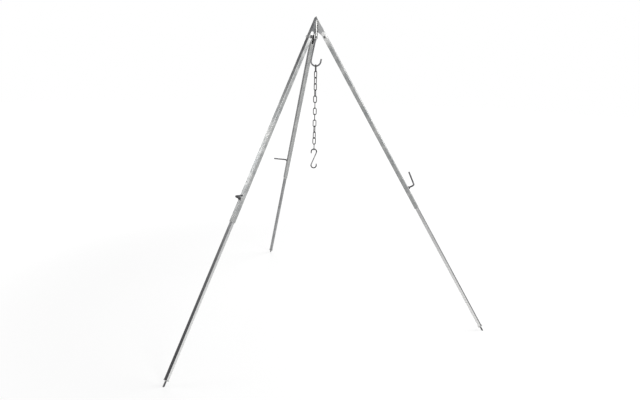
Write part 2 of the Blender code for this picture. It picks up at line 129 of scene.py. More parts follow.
class Nodes:
    """The nodes of a material or the world, which starts empty."""

    def __init__(self, owner):
        owner.use_nodes = True
        self.tree = owner.node_tree
        self.tree.nodes.clear()

    def add(self, kind, settings, sockets, out=0):
        """Adds a node: its settings first, then its sockets. Gives one of its outputs."""
        node = self.tree.nodes.new(kind)
        for name, value in settings.items():
            setattr(node, name, value)
        for name, value in sockets.items():
            if isinstance(value, Value):
                self.tree.links.new(value.socket, node.inputs[name])
            else:
                node.inputs[name].default_value = value
        return Value(self, node.outputs[out]) if node.outputs else None

    def blend(self, amount, first, second):
        """A colour between two colours."""
        return self.add("ShaderNodeMix", {"data_type": "RGBA"}, {0: amount, 6: first, 7: second}, 2)

    def noise(self, at, waves, detail, out=0):
        """Noise at a place: about so many waves to the metre, with finer ones on top."""
        return self.add("ShaderNodeTexNoise", {},
                        {"Vector": at, "Scale": waves, "Detail": detail}, out)


def seen_directly(nodes):
    """One for the camera's rays and for those that metal throws back, zero for light."""
    seen = [nodes.add("ShaderNodeLightPath", {}, {}, out)
            for out in ("Is Camera Ray", "Is Glossy Ray", "Is Transmission Ray")]
    return seen[0].most(seen[1]).most(seen[2])


world = bpy.data.worlds.new("studio")
bpy.context.scene.world = world
nodes = Nodes(world)
white = seen_directly(nodes)
strength = white * (1 - ROOM_LIGHT) + ROOM_LIGHT
sky = nodes.add("ShaderNodeBackground", {}, {"Color": (1, 1, 1, 1), "Strength": strength})
nodes.add("ShaderNodeOutputWorld", {}, {"Surface": sky})

floor_finish = bpy.data.materials.new("pale_floor")
nodes = Nodes(floor_finish)
seen = seen_directly(nodes)
grey = nodes.blend(seen, (FLOOR_BOUNCE,) * 3 + (1,), (FLOOR_SEEN,) * 3 + (1,))
matt = nodes.add("ShaderNodeBsdfDiffuse", {}, {"Color": grey})
plain = nodes.add("ShaderNodeEmission", {}, {"Color": (1, 1, 1, 1), "Strength": WHITE_GLOW})
spot = nodes.add("ShaderNodeTexCoord", {}, {}, "Object")
far = nodes.add("ShaderNodeVectorMath", {"operation": "LENGTH"}, {0: spot}, "Value")
fade = (far.step(WHITE_FROM, WHITE_TO) * (1 - WHITE_LEAST) + WHITE_LEAST) * seen
surface = nodes.add("ShaderNodeMixShader", {}, {0: fade, 1: matt, 2: plain})
nodes.add("ShaderNodeOutputMaterial", {}, {"Surface": surface})


def around(count):
    """Angles evenly round a circle."""
    return np.linspace(0, 2 * pi, count, endpoint=False)


turns = around(FLOOR_SIDES)
floor_mesh = bpy.data.meshes.new("studio_floor")
floor_mesh.from_pydata(np.stack([FLOOR_RADIUS * np.cos(turns), FLOOR_RADIUS * np.sin(turns),
                                 0 * turns], axis=-1), [], [list(range(len(turns)))])
floor_mesh.materials.append(floor_finish)
studio_floor = bpy.data.objects.new("studio_floor", floor_mesh)
bpy.context.scene.collection.objects.link(studio_floor)
studio_floor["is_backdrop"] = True


def soft_lamp(name, place, towards, side, power):
    """A square lamp at a place that looks towards a point, both measured from the tripod's axis."""
    lamp = bpy.data.lights.new(name, "AREA")
    lamp.shape = "SQUARE"
    lamp.size = side
    lamp.energy = power
    back = Vector(place) - Vector(towards)
    stand = bpy.data.objects.new(name, lamp)
    stand.location = axis_at + Vector(place)
    stand.rotation_euler = back.to_track_quat("Z", "Y").to_euler()
    stand.visible_camera = False
    bpy.context.scene.collection.objects.link(stand)


soft_lamp("left_window", (-1.6, 0.42, 1.65), (-0.35, -0.2, 0.85), 0.6, 5.5)
soft_lamp("high_right", (2.3, -0.3, 2.6), (0.2, 0, 0.9), 1.6, 62)
soft_lamp("front", (0.7, -2.8, 2.2), (0, 0, 0.8), 1.0, 32)
soft_lamp("back", (0.2, 2.6, 2.4), (0, 0, 0.9), 2.0, 34)
soft_lamp("overhead", (-0.4, -1.0, 3.4), (0, 0, 0.6), 3.0, 16)

camera_back = Vector((cos(CAMERA_BEARING) * cos(CAMERA_PITCH),
                      sin(CAMERA_BEARING) * cos(CAMERA_PITCH), sin(CAMERA_PITCH)))
camera_right = Vector((-sin(CAMERA_BEARING), cos(CAMERA_BEARING), 0))
camera_up = camera_back.cross(camera_right)
aim = Matrix((camera_right, camera_up, camera_back)).transposed().to_4x4()
camera_data = bpy.data.cameras.new("photo_camera")
camera_data.lens = FOCAL_LENGTH
camera_data.sensor_width = SENSOR_WIDTH
camera_data.clip_end = 60
camera = bpy.data.objects.new("photo_camera", camera_data)
camera.matrix_world = (Matrix.Translation(axis_at + Vector(CAMERA_FROM_AXIS)) @ aim
                       @ Matrix.Rotation(CAMERA_ROLL, 4, "Z"))
bpy.context.scene.collection.objects.link(camera)
bpy.context.scene.camera = camera
bpy.context.scene.view_settings.view_transform = "Standard"

# ---------------------------------------------------------------------------------------------
# Upper legs: square steel tube of 20 mm, cut to two cheeks at the top and dipped in zinc, which
# sets in flat crystals. The strip's weld shows as a thin line on the inner wall. Light and shade
# are painted on: the front two's side walls carry a painted highlight just below the head, their
# outer walls painted shade that is deepest there, and their corners a painted highlight all
# along. The rear one is painted lighter all over, with painted shade on its side and outer walls
# and a painted highlight on its corners.

SPLAY = radians(31.2)
PIVOT_RADIAL = 0.044285
PIVOT_HEIGHT = 1.407573
LEG_BEARINGS = {"left": radians(210), "right": radians(330), "rear": radians(90)}
GRAIN_STEP = (0.0, 0.0, 0.241)
FROST = (0.66, 0.67, 0.68, 1)
SEAM = (0.70, 0.70, 0.69, 1)
SEAM_EDGE = (0.0005, 0.0011)
RELIEF_DEPTH = 0.0004
CORNER_FROM = 0.0017
CORNER_TO = 0.0007
TUBE_PALE = (0.53, 0.53, 0.515, 1)
TUBE_DEEP = (0.26, 0.275, 0.282, 1)
# The rear upper tube's zinc is painted lighter all over, as a lit copy.
REAR_LIT_PALE = (0.66, 0.66, 0.64, 1)
REAR_LIT_DEEP = (0.36, 0.375, 0.38, 1)
EDGE_EASE = 0.0003
SAME_POINT = 2e-6
FLAT_WITHIN = radians(0.6)
EASED_FROM = radians(35)


def galvanised(name, deep, pale, roughness, metallic=0.5, crystal=0.009, frost_and_shade=0.5, bump=0.12,
               seam_at=None, walls=None, bends=None):
    """Zinc: crystals of a given size, clouds, a slow drift of tone, drawn lines and pits.

    A seam is a thin brighter line along the piece, at a place across its inner wall.

    Walls are for a tube of a given half width, and paint light and shade on it. Its side walls get
    a painted tone of their own, most at a peak height and not at all from the one called plain on.
    Its outer wall gets painted shade, and the corners beside it, from edge_width in from the wall
    on, a painted tone too: a pair for each says how much of it at the peak height and how much from
    a lower height on.

    Bends are for a bent rod: the height of its middle, how far from there it starts to change
    its tone and where it has changed, and the tone.
    """
    finish = bpy.data.materials.new(name)
    nodes = Nodes(finish)
    place = nodes.add("ShaderNodeAttribute", {"attribute_name": "grain"}, {}, "Vector")
    own = nodes.add("ShaderNodeAttribute", {"attribute_name": "own"}, {}, "Vector")
    wobble = nodes.noise(place, 160.0, 2.0, "Color")
    small = nodes.add("ShaderNodeVectorMath", {"operation": "SCALE"},
                      {0: wobble, "Scale": crystal * 0.6})
    moved = nodes.add("ShaderNodeVectorMath", {"operation": "ADD"}, {0: place, 1: small})
    cell = nodes.add("ShaderNodeTexVoronoi", {}, {"Vector": moved, "Scale": 1 / crystal}, "Color")
    shade = nodes.add("ShaderNodeSeparateColor", {}, {"Color": cell}, "Red")
    tilt = nodes.add("ShaderNodeSeparateColor", {}, {"Color": cell}, "Green")
    cloud = nodes.noise(place, 24.0, 3.0)
    fine = nodes.noise(place, 1100.0, 2.0)
    along = nodes.add("ShaderNodeMapping", {}, {"Vector": place, "Scale": (1.0, 1.0, 0.03)})
    lines = nodes.noise(along, 700.0, 2.0)
    runs = nodes.add("ShaderNodeMapping", {}, {"Vector": place, "Scale": (0.4, 0.4, 1.0)})
    drift = nodes.noise(runs, 8.0, 1.0)
    tone = 0.22 * shade + 0.8 * (cloud - 0.5) + 0.3 * (lines - 0.5) + 0.1 * (fine - 0.5)
    tone = tone + 0.9 * (drift - 0.5) + 0.35
    colour = nodes.blend(tone.step(0.0, 1.0), deep, pale)
    bloom = cloud.step(0.52, 0.72) * frost_and_shade
    skin_tone = nodes.blend(bloom * 0.5, colour, FROST)
    height = 0.5 * tilt + 0.4 * fine + 0.4 * lines
    rough = roughness + 0.14 * (tilt - 0.5) + 0.16 * bloom + 0.12 * (fine - 0.5)
    if seam_at is not None:
        across = (own.part("Y") - seam_at).size()
        seam = (1 - across.step(*SEAM_EDGE)) * (1 - own.part("X").step(0.0, 0.001))
        skin_tone = nodes.blend(seam * 0.7, skin_tone, SEAM)
        height = height + seam * 0.9
        rough = rough - 0.12 * seam
    # Light and shade are painted here on a tube's walls, by height: a tone on its side walls,
    # painted shade on its outer wall and a tone on the corners beside it.
    if walls is not None:
        half = walls["half"]
        side = own.part("Y").size().step(half - CORNER_FROM, half - CORNER_TO)
        outer = own.part("X").step(half - CORNER_FROM, half - CORNER_TO)
        edge_from = half - walls["edge_width"]
        away = (own.part("Z") - walls["painted_peak"]).size()
        far = away.step(0, abs(walls["plain"] - walls["painted_peak"]))
        fading = away.step(0, abs(walls["light_and_shade_fade_to"] - walls["painted_peak"]))
        painted_edge = side * own.part("X").step(edge_from, edge_from + 0.001)
        painted_shade_here, painted_edge_here = (start + (end - start) * fading
                                for start, end in (walls["frost_and_shade"], walls["painted_edge"]))
        skin_tone = nodes.blend(side * (0.9 - 0.9 * far), skin_tone, walls["tone"])
        skin_tone = nodes.blend(outer * painted_shade_here, skin_tone, walls["painted_shade_tone"])
        skin_tone = nodes.blend(painted_edge * painted_edge_here, skin_tone, walls["painted_edge_tone"])
    if bends is not None:
        middle, bend_from, bend_to, bend_tone = bends
        bent = (own.part("Z") - middle).size().step(bend_from, bend_to)
        skin_tone = nodes.blend(bent * 0.9, skin_tone, bend_tone)
    relief = nodes.add("ShaderNodeBump", {}, {"Strength": bump, "Distance": RELIEF_DEPTH,
                                              "Height": height})
    surface = nodes.add("ShaderNodeBsdfPrincipled", {}, {
        "Base Color": skin_tone, "Roughness": rough, "Metallic": metallic, "Normal": relief})
    nodes.add("ShaderNodeOutputMaterial", {}, {"Surface": surface})
    return finish


def leg_place(side):
    """A leg's frame: X out of its outer face, Y along the pivot bolt, Z up the leg."""
    bearing = LEG_BEARINGS[side]
    at = axis_at + Vector((PIVOT_RADIAL * cos(bearing), PIVOT_RADIAL * sin(bearing), PIVOT_HEIGHT))
    turn = Matrix.Rotation(bearing, 4, "Z") @ Matrix.Rotation(-SPLAY, 4, "Y")
    return Matrix.Translation(at) @ turn


def finish_piece(name, mesh, place, finish, body, stands_for):
    """Puts a mesh in the scene as a piece that rides on a body.

    Its own attribute is where a point lies in the piece's own frame. Grain is the same moved on
    by one step for each piece, so that no two pieces of a kind have the same pattern.
    """
    count = len(mesh.vertices)
    flat = np.empty(count * 3)
    mesh.vertices.foreach_get("co", flat)
    back = np.array(place.inverted())
    own = flat.reshape(-1, 3) @ back[:3, :3].T + back[:3, 3]
    moved_on = own + np.array(GRAIN_STEP) * len(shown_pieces())
    for attribute, spots in (("own", own), ("grain", moved_on)):
        held = mesh.attributes.new(attribute, "FLOAT_VECTOR", "POINT")
        held.data.foreach_set("vector", spots.ravel())
    mesh.materials.clear()
    mesh.materials.append(finish)
    piece = bpy.data.objects.new(name, mesh)
    bpy.context.scene.collection.objects.link(piece)
    if stands_for:
        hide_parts(stands_for)
    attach(piece, body)
    return piece


def eased_copy(name, node, place, finish, body, ease, held=True):
    """A node's own shape with its flat faces made whole and its sharp edges rounded off.

    Held means that the shortest edges keep the rounding small where it would overlap.
    """
    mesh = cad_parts[node].data.copy()
    bm = bmesh.new()
    bm.from_mesh(mesh)
    bmesh.ops.remove_doubles(bm, verts=bm.verts, dist=SAME_POINT)
    bmesh.ops.dissolve_limit(bm, angle_limit=FLAT_WITHIN, verts=bm.verts, edges=bm.edges)
    bm.to_mesh(mesh)
    bm.free()
    mesh.shade_smooth()
    piece = finish_piece(name, mesh, place, finish, body, node)
    rounding = piece.modifiers.new("eased_edges", "BEVEL")
    rounding.width = ease
    rounding.segments = 2
    rounding.limit_method = "ANGLE"
    rounding.angle_limit = EASED_FROM
    rounding.use_clamp_overlap = held
    level = piece.modifiers.new("flat_faces", "WEIGHTED_NORMAL")
    level.weight = 90
    level.keep_sharp = True
    return piece


# Painted light and shade on the tubes' walls: a highlight, a corner highlight, shade, deep shade.
PAINTED_HIGHLIGHT_ZINC = (0.90, 0.90, 0.89, 1)
PAINTED_CORNER_HIGHLIGHT = (0.66, 0.66, 0.65, 1)
PAINTED_SHADE_ZINC = (0.15, 0.153, 0.16, 1)
PAINTED_DEEP_SHADE_ZINC = (0.05, 0.05, 0.055, 1)
OUTER_HALF = 0.010
OUTER_SEAM_AT = 0.0045
THIN_EDGE = 0.0017
# Front upper tubes: painted highlight on the side walls and corners, painted shade outside.
tube_painted_light_and_shade = galvanised(
    "galvanised_tube", TUBE_DEEP, TUBE_PALE, 0.36, crystal=0.008, seam_at=OUTER_SEAM_AT,
    walls=dict(half=OUTER_HALF, painted_peak=0.02, plain=-0.07, tone=PAINTED_HIGHLIGHT_ZINC, frost_and_shade=(0.9, 0.2),
               light_and_shade_fade_to=-0.45, painted_shade_tone=PAINTED_DEEP_SHADE_ZINC,
               painted_edge=(0.8, 0.8), painted_edge_tone=PAINTED_CORNER_HIGHLIGHT, edge_width=THIN_EDGE))
# Rear upper tube: painted shade on its side and outer walls, painted highlight on its corners.
rear_tube_painted_light_and_shade = galvanised(
    "galvanised_rear_tube", REAR_LIT_DEEP, REAR_LIT_PALE, 0.36, crystal=0.008, seam_at=OUTER_SEAM_AT,
    walls=dict(half=OUTER_HALF, painted_peak=0.02, plain=-2.2, tone=PAINTED_DEEP_SHADE_ZINC, frost_and_shade=(0.3, 0.2),
               light_and_shade_fade_to=-2.2, painted_shade_tone=PAINTED_SHADE_ZINC,
               painted_edge=(0.8, 0.8), painted_edge_tone=PAINTED_CORNER_HIGHLIGHT, edge_width=THIN_EDGE))
for side in LEG_BEARINGS:
    eased_copy(f"upper_leg_{side}", f"outer_tube_{side}", leg_place(side),
               rear_tube_painted_light_and_shade if side == "rear" else tube_painted_light_and_shade, f"leg_{side}",
               EDGE_EASE)

# ---------------------------------------------------------------------------------------------
# Lower legs: square tube of 16 mm that slides in the upper one. Light and shade are painted on:
# on the front two the side walls carry a painted reflection of the floor and the outer wall and
# its corners painted shade, both most at the foot. The rear one has painted shade on its side and
# outer walls and a painted highlight on its corners.

INNER_HALF = 0.008
INNER_WALL = 0.0012
INNER_CORNER = 0.0024
INNER_FROM = -1.617280
INNER_TO = -0.720
INNER_SEAM_AT = -0.003
WIDE_EDGE = 0.0034
SMOOTH_TO = radians(38)


def skin(name, grids, closed):
    """A mesh of grids of points. In each, the columns run round and meet.

    The rows meet too where the grid is closed. Otherwise each end is drawn to its middle.
    """
    points, faces, first = [], [], 0
    for grid in grids:
        rows, cols = grid.shape[:2]
        row, col = np.meshgrid(np.arange(rows if closed else rows - 1), np.arange(cols),
                               indexing="ij")
        low, high = first + row * cols, first + (row + 1) % rows * cols
        beside = (col + 1) % cols
        quads = np.stack([low + col, low + beside, high + beside, high + col], axis=-1)
        faces += quads.reshape(-1, 4).tolist()
        points.append(grid.reshape(-1, 3))
        if not closed:
            ring = np.arange(cols)
            after = (ring + 1) % cols
            start, end = first + rows * cols, first + rows * cols + 1
            last = first + (rows - 1) * cols
            faces += np.stack([0 * ring + start, first + after, first + ring], axis=-1).tolist()
            faces += np.stack([0 * ring + end, last + ring, last + after], axis=-1).tolist()
            points.append(np.array([grid[0].mean(axis=0), grid[-1].mean(axis=0)]))
        first = sum(len(part) for part in points)
    mesh = bpy.data.meshes.new(name)
    mesh.from_pydata(np.concatenate(points), [], faces)
    mesh.shade_smooth()
    mesh.set_sharp_from_angle(angle=SMOOTH_TO)
    return mesh


def put(name, grids, place, finish, body, stands_for=None, closed=False):
    """A piece made of grids in the frame of a leg, hook or link."""
    turn = np.array(place)
    spots = [grid @ turn[:3, :3].T + turn[:3, 3] for grid in grids]
    mesh = skin(name, spots, closed)
    return finish_piece(name, mesh, place, finish, body, stands_for)


def rounded_square(half, corner, inset):
    """Points round a square with round corners, drawn in by an inset: 4 quarter circles."""
    quarter = np.linspace(0, pi / 2, 7)
    turn = (np.arange(4)[:, None] * pi / 2 + quarter).ravel()
    corner_turn = np.repeat(np.arange(4) * pi / 2 + pi / 4, len(quarter))
    reach = (half - corner) * np.sqrt(2)
    radius = corner - inset
    return np.stack([reach * np.cos(corner_turn) + radius * np.cos(turn),
                     reach * np.sin(corner_turn) + radius * np.sin(turn)], axis=-1)


def square_rows(half, corner, rows):
    """Rounded squares one over the other, from rows of inset and height."""
    level = [(rounded_square(half, corner, inset), height) for inset, height in rows]
    return np.stack([np.column_stack([square, np.full(len(square), height)])
                     for square, height in level])


def tube_grid(half, corner, wall, low, high, steps):
    """A tube's rows: up its outside, over its end, down its inside and back under."""
    ease = wall / 4
    heights = np.linspace(low + ease, high - ease, steps)
    return square_rows(half, corner, (
        [(0, height) for height in heights] + [(ease, high), (wall - ease, high)]
        + [(wall, height) for height in heights[::-1]] + [(wall - ease, low), (ease, low)]))


SLID_DEEP = (0.27, 0.275, 0.28, 1)
SLID_PALE = (0.46, 0.465, 0.47, 1)
# Front lower tubes: a painted reflection of the floor on the side walls, painted shade outside.
slid_tube_painted_light_and_shade = galvanised(
    "galvanised_tube_slid", SLID_DEEP, SLID_PALE, 0.28, crystal=0.007, frost_and_shade=0.3,
    seam_at=INNER_SEAM_AT,
    walls=dict(half=INNER_HALF, painted_peak=INNER_FROM, plain=-0.5, tone=PAINTED_HIGHLIGHT_ZINC,
               frost_and_shade=(0.95, 0.3), light_and_shade_fade_to=-0.5, painted_shade_tone=PAINTED_DEEP_SHADE_ZINC,
               painted_edge=(1.0, 0.0), painted_edge_tone=PAINTED_DEEP_SHADE_ZINC, edge_width=WIDE_EDGE))
# Rear lower tube: painted shade on its side and outer walls, a painted highlight on its corners.
rear_slid_tube_painted_light_and_shade = galvanised(
    "galvanised_rear_tube_slid", SLID_DEEP, SLID_PALE, 0.28, crystal=0.007, frost_and_shade=0.3,
    seam_at=INNER_SEAM_AT,
    walls=dict(half=INNER_HALF, painted_peak=-0.8, plain=-2.6, tone=PAINTED_SHADE_ZINC, frost_and_shade=(0.4, 0.4),
               light_and_shade_fade_to=-2.6, painted_shade_tone=PAINTED_SHADE_ZINC,
               painted_edge=(0.8, 0.8), painted_edge_tone=PAINTED_CORNER_HIGHLIGHT, edge_width=THIN_EDGE))
for side in LEG_BEARINGS:
    put(f"lower_leg_{side}",
        [tube_grid(INNER_HALF, INNER_CORNER, INNER_WALL, INNER_FROM, INNER_TO, 60)],
        leg_place(side), rear_slid_tube_painted_light_and_shade if side == "rear" else slid_tube_painted_light_and_shade,
        f"extension_{side}", f"inner_tube_{side}", closed=True)

# ---------------------------------------------------------------------------------------------
# Head: three arms folded from 1.5 mm sheet, mitred where they meet on the round post, and
# welded there. Their light and shade are painted in: the right one is a lit copy of the zinc and
# the others a shaded copy, and the post is painted near white as a highlight. The post's lower
# end is a fork that holds the hook's rivet.

APEX_HEIGHT = 1.500
ARM_HALF = 0.0082
MITRE_START = 0.0032
MITRE_BELOW_APEX = 0.0006
MITRE_BEAD = 0.0011
POST_BEAD_RADIUS = 0.0091
POST_BEAD_HEIGHT = 1.4808
POST_BEAD = 0.0014
WELD_PITCH = 0.0016
WELD_COLUMNS = 14
RING_COLUMNS = 120
SHEET_EASE = 0.0005
# The arms' zinc in two copies: a shaded one as painted shade and a lit one as painted light.
SHADED_SHEET_DEEP = (0.09, 0.093, 0.097, 1)
SHADED_SHEET_PALE = (0.25, 0.253, 0.257, 1)
LIT_SHEET_DEEP = (0.38, 0.385, 0.39, 1)
LIT_SHEET_PALE = (0.62, 0.62, 0.615, 1)
# The post's zinc is painted near white, as a highlight.
POST_HIGHLIGHT_DEEP = (0.66, 0.66, 0.65, 1)
POST_HIGHLIGHT_PALE = (0.88, 0.88, 0.86, 1)
WELD_DEEP = (0.48, 0.48, 0.48, 1)
WELD_PALE = (0.74, 0.74, 0.73, 1)
RIVET_DEEP = (0.06, 0.06, 0.063, 1)
RIVET_PALE = (0.16, 0.16, 0.163, 1)
RIVET_RADIUS = 0.003
RIVET_HEAD_RADIUS = 0.0045
RIVET_HEAD_INSIDE = 0.0088
RIVET_HEAD_OUTSIDE = 0.0110
HOOK_PIN_HEIGHT = 1.407
HOOK_TURN = radians(-19.3)


def round_grid(height, radius):
    """Points about the Z axis, from a height for each row and a radius for each of its angles."""
    turn = around(radius.shape[1])
    return np.stack([radius * np.cos(turn), radius * np.sin(turn), height + 0 * radius], axis=-1)


def turned(rows, cols=48):
    """A shape of revolution about Z, from rows of height and radius."""
    rows = np.asarray(rows)
    return round_grid(rows[:, 0:1], np.repeat(rows[:, 1:2], cols, axis=1))


def along_path(path, across, radius, cols, closed=False):
    """A round section carried along a flat path.

    path is rows of points, across is the direction square to its plane, and radius is one number
    for each row or for each point of each row. The section's first point lies on the path's own
    side, and its quarter point lies across.
    """
    if closed:
        ahead = np.roll(path, -1, axis=0) - np.roll(path, 1, axis=0)
    else:
        ahead = np.gradient(path, axis=0)
    ahead = ahead / np.linalg.norm(ahead, axis=1, keepdims=True)
    beside = np.cross(across, ahead)
    turn = around(cols)
    size = np.broadcast_to(radius if np.ndim(radius) == 2 else np.reshape(radius, (-1, 1)),
                           (len(path), cols))
    return (path[:, None, :] + (size * np.cos(turn))[..., None] * beside[:, None, :]
            + (size * np.sin(turn))[..., None] * np.asarray(across))


def weld_bead(path, across, radius, closed=False):
    """A bead of weld, whose radius swells once for each drop.

    It is radius * (0.82 + 0.18 |sin(pi run / pitch)| + 0.05 sin(900 run)), and an open bead's two
    ends run out thin.
    """
    steps = np.linalg.norm(np.diff(path, axis=0), axis=1)
    run = np.concatenate([[0], np.cumsum(steps)])
    swell = 0.82 + 0.18 * np.abs(np.sin(pi * run / WELD_PITCH)) + 0.05 * np.sin(900 * run)
    if not closed:
        swell = swell * np.clip(np.sin(pi * np.linspace(0.02, 0.98, len(run))) * 2.5, 0, 1) ** 0.5
    return along_path(path, across, radius * swell, WELD_COLUMNS, closed)


def ring_bead(radii, height, bead):
    """A level bead of weld that runs round the Z axis, at a radius for each angle."""
    return weld_bead(round_grid(height, radii[None])[0], (0, 0, 1), bead, closed=True)


axis_place = Matrix.Translation(axis_at)
shaded_sheet_copy = galvanised("sheet_zinc_painted_shade", SHADED_SHEET_DEEP, SHADED_SHEET_PALE, 0.42, crystal=0.006)
lit_sheet_copy = galvanised("sheet_zinc_painted_light", LIT_SHEET_DEEP, LIT_SHEET_PALE, 0.42,
                               crystal=0.006)
post_painted_highlight = galvanised("post_zinc_painted_highlight", POST_HIGHLIGHT_DEEP, POST_HIGHLIGHT_PALE, 0.36, crystal=0.004, frost_and_shade=0.2)
weld_finish = galvanised("weld_metal", WELD_DEEP, WELD_PALE, 0.5, crystal=0.0016, frost_and_shade=0.7,
                         bump=0.6)
# The right arm gets the lit copy, as painted light; the others the shaded copy, as painted shade.
for side in LEG_BEARINGS:
    eased_copy(f"folded_arm_{side}", f"head_arm_{side}", leg_place(side),
               lit_sheet_copy if side == "right" else shaded_sheet_copy, "head",
               SHEET_EASE, held=False)
eased_copy("forked_post", "hanger_post", axis_place, post_painted_highlight, "head", EDGE_EASE)

mitre_slope = 0.5 / tan(SPLAY)
mitre_run = np.linspace(MITRE_START, ARM_HALF / sin(pi / 3), 60)
for number, bearing in enumerate((radians(30), radians(150), radians(270))):
    outward = np.array([cos(bearing), sin(bearing), 0])
    seam_path = mitre_run[:, None] * outward + np.array([0, 0, 1]) * (
        APEX_HEIGHT - MITRE_BELOW_APEX - mitre_run[:, None] * mitre_slope)
    put(f"mitre_weld_{number + 1}",
        [weld_bead(seam_path, (-outward[1], outward[0], 0), MITRE_BEAD)],
        axis_place, weld_finish, "head")
put("post_weld",
    [ring_bead(np.full(RING_COLUMNS, POST_BEAD_RADIUS), POST_BEAD_HEIGHT, POST_BEAD)],
    axis_place, weld_finish, "head", closed=True)

dome = np.linspace(0.06, pi / 2, 9)
rivet_side = np.concatenate([
    np.column_stack([-RIVET_HEAD_INSIDE - (RIVET_HEAD_OUTSIDE - RIVET_HEAD_INSIDE) * np.cos(dome),
                     RIVET_HEAD_RADIUS * np.sin(dome)]),
    [(-RIVET_HEAD_INSIDE, RIVET_RADIUS)]])
rivet_rows = np.concatenate([rivet_side, rivet_side[::-1] * (-1, 1)])
hook_place = (Matrix.Translation(axis_at + Vector((0, 0, HOOK_PIN_HEIGHT)))
              @ Matrix.Rotation(HOOK_TURN, 4, "Z"))
rivet_finish = galvanised("rivet_steel", RIVET_DEEP, RIVET_PALE, 0.42, crystal=0.003, frost_and_shade=0.2)
put("hook_rivet", [turned(rivet_rows, 32)], hook_place @ Matrix.Rotation(pi / 2, 4, "X"),
    rivet_finish, "head", "hook_pin")

# ---------------------------------------------------------------------------------------------
# Leg pivots: M8 bolts with a washer and a nut in zinc plate, with rolled threads and chamfered
# hexagons. The bolts are painted dark as shadow, and the washers and nuts painted bright as a
# highlight. The bolt's end stands two threads out of its nut.

BOLT_RADIUS = 0.004
BORE_RADIUS = 0.0043
HEX_HALF = 0.0065
CHAMFER_STEPS = np.array([0, 0.00012, 0.00026, 0.00042, 0.0006])
CHAMFER_FACE = 0.96
THREAD_PITCH = 0.00125
THREAD_DEPTH = 0.00061
CHEEK_FACE = 0.0103
BOLT_HEAD_END = 0.0156
WASHER_FACE = 0.0119
NUT_NEAR = 0.0122
NUT_FAR = 0.0187
BOLT_THREAD_FROM = 0.0178
BOLT_END = 0.0212
BOLT_COLUMNS = 72
WASHER_RADIUS = 0.008
# Bolts are painted dark, as shadow; nuts and washers painted bright, as a highlight.
BOLT_SHADOW_DEEP = (0.06, 0.06, 0.063, 1)
BOLT_SHADOW_PALE = (0.17, 0.17, 0.173, 1)
NUT_HIGHLIGHT_DEEP = (0.58, 0.58, 0.57, 1)
NUT_HIGHLIGHT_PALE = (0.84, 0.84, 0.82, 1)


def hexagon_radius(cols):
    """How far a hexagon of the nuts' size reaches at each angle: half its width over a cosine."""
    return HEX_HALF / np.cos((around(cols) + pi / 6) % (pi / 3) - pi / 6)


def chamfered(low, high, cut_low, cut_high, cols=BOLT_COLUMNS):
    """Rows up a hexagon's sides. A cone of 30 degrees cuts its corners at one end or both."""
    steps = CHAMFER_STEPS
    heights = np.concatenate([low + steps, high - steps[::-1]])
    cone = np.full(len(heights), np.inf)
    cut = HEX_HALF * CHAMFER_FACE + steps * np.tan(pi / 3)
    if cut_low:
        cone[:len(steps)] = cut
    if cut_high:
        cone[len(steps):] = cut[::-1]
    return round_grid(heights[:, None], np.minimum(hexagon_radius(cols), cone[:, None]))


def thread_radius(height, cols, radius):
    """A screw's radius: it dips by the thread's depth once a pitch, and a turn moves it on."""
    turn = np.linspace(0, 1, cols, endpoint=False)
    phase = (height[:, None] / THREAD_PITCH - turn) % 1.0
    return radius - THREAD_DEPTH * np.clip(1.25 * (1 - np.abs(2 * phase - 1)) - 0.12, 0, 1)


def threaded(low, high, cols, end_cut=0.0008):
    """Rows of a threaded shaft, cut to a cone at its far end."""
    height = np.linspace(low, high, int((high - low) / THREAD_PITCH * 10) + 2)
    radius = thread_radius(height, cols, BOLT_RADIUS)
    limit = BOLT_RADIUS - np.clip(height - (high - end_cut), 0, None)
    return round_grid(height[:, None], np.minimum(radius, limit[:, None]))


def nut_rows(low, high):
    """A nut as one closed surface: up its hexagon, in over its face, down its bore and out."""
    inside = turned([(high, BORE_RADIUS + 0.0007), (high - 0.0006, BORE_RADIUS),
                     (low + 0.0006, BORE_RADIUS), (low, BORE_RADIUS + 0.0007)], BOLT_COLUMNS)
    return np.concatenate([chamfered(low, high, True, True), inside])


def washer_rows(low, high, inner, outer, ease=0.0003):
    """A washer as one closed surface with its edges rounded as the punch leaves them."""
    return turned([(low + ease, outer), (high - ease, outer), (high, outer - ease),
                   (high, inner + ease), (high - ease, inner), (low + ease, inner),
                   (low, inner + ease), (low, outer - ease)], 64)


bolt_painted_shadow = galvanised("plate_painted_shadow", BOLT_SHADOW_DEEP, BOLT_SHADOW_PALE, 0.30, metallic=0.6,
                         crystal=0.003, frost_and_shade=0.2, bump=0.2)
nut_painted_highlight = galvanised("plate_painted_highlight", NUT_HIGHLIGHT_DEEP, NUT_HIGHLIGHT_PALE, 0.30, crystal=0.003, frost_and_shade=0.2,
                        bump=0.2)
bolt_rows = np.concatenate([
    turned([(-BOLT_HEAD_END, HEX_HALF * 0.5), (-BOLT_HEAD_END, HEX_HALF * 0.9)], BOLT_COLUMNS),
    chamfered(-BOLT_HEAD_END, -CHEEK_FACE - 0.0003, True, False),
    turned([(-CHEEK_FACE - 0.0003, 0.0060), (-CHEEK_FACE, 0.0058), (-CHEEK_FACE, BOLT_RADIUS),
            (BOLT_THREAD_FROM - 0.0003, BOLT_RADIUS)], BOLT_COLUMNS),
    threaded(BOLT_THREAD_FROM, BOLT_END, BOLT_COLUMNS)])
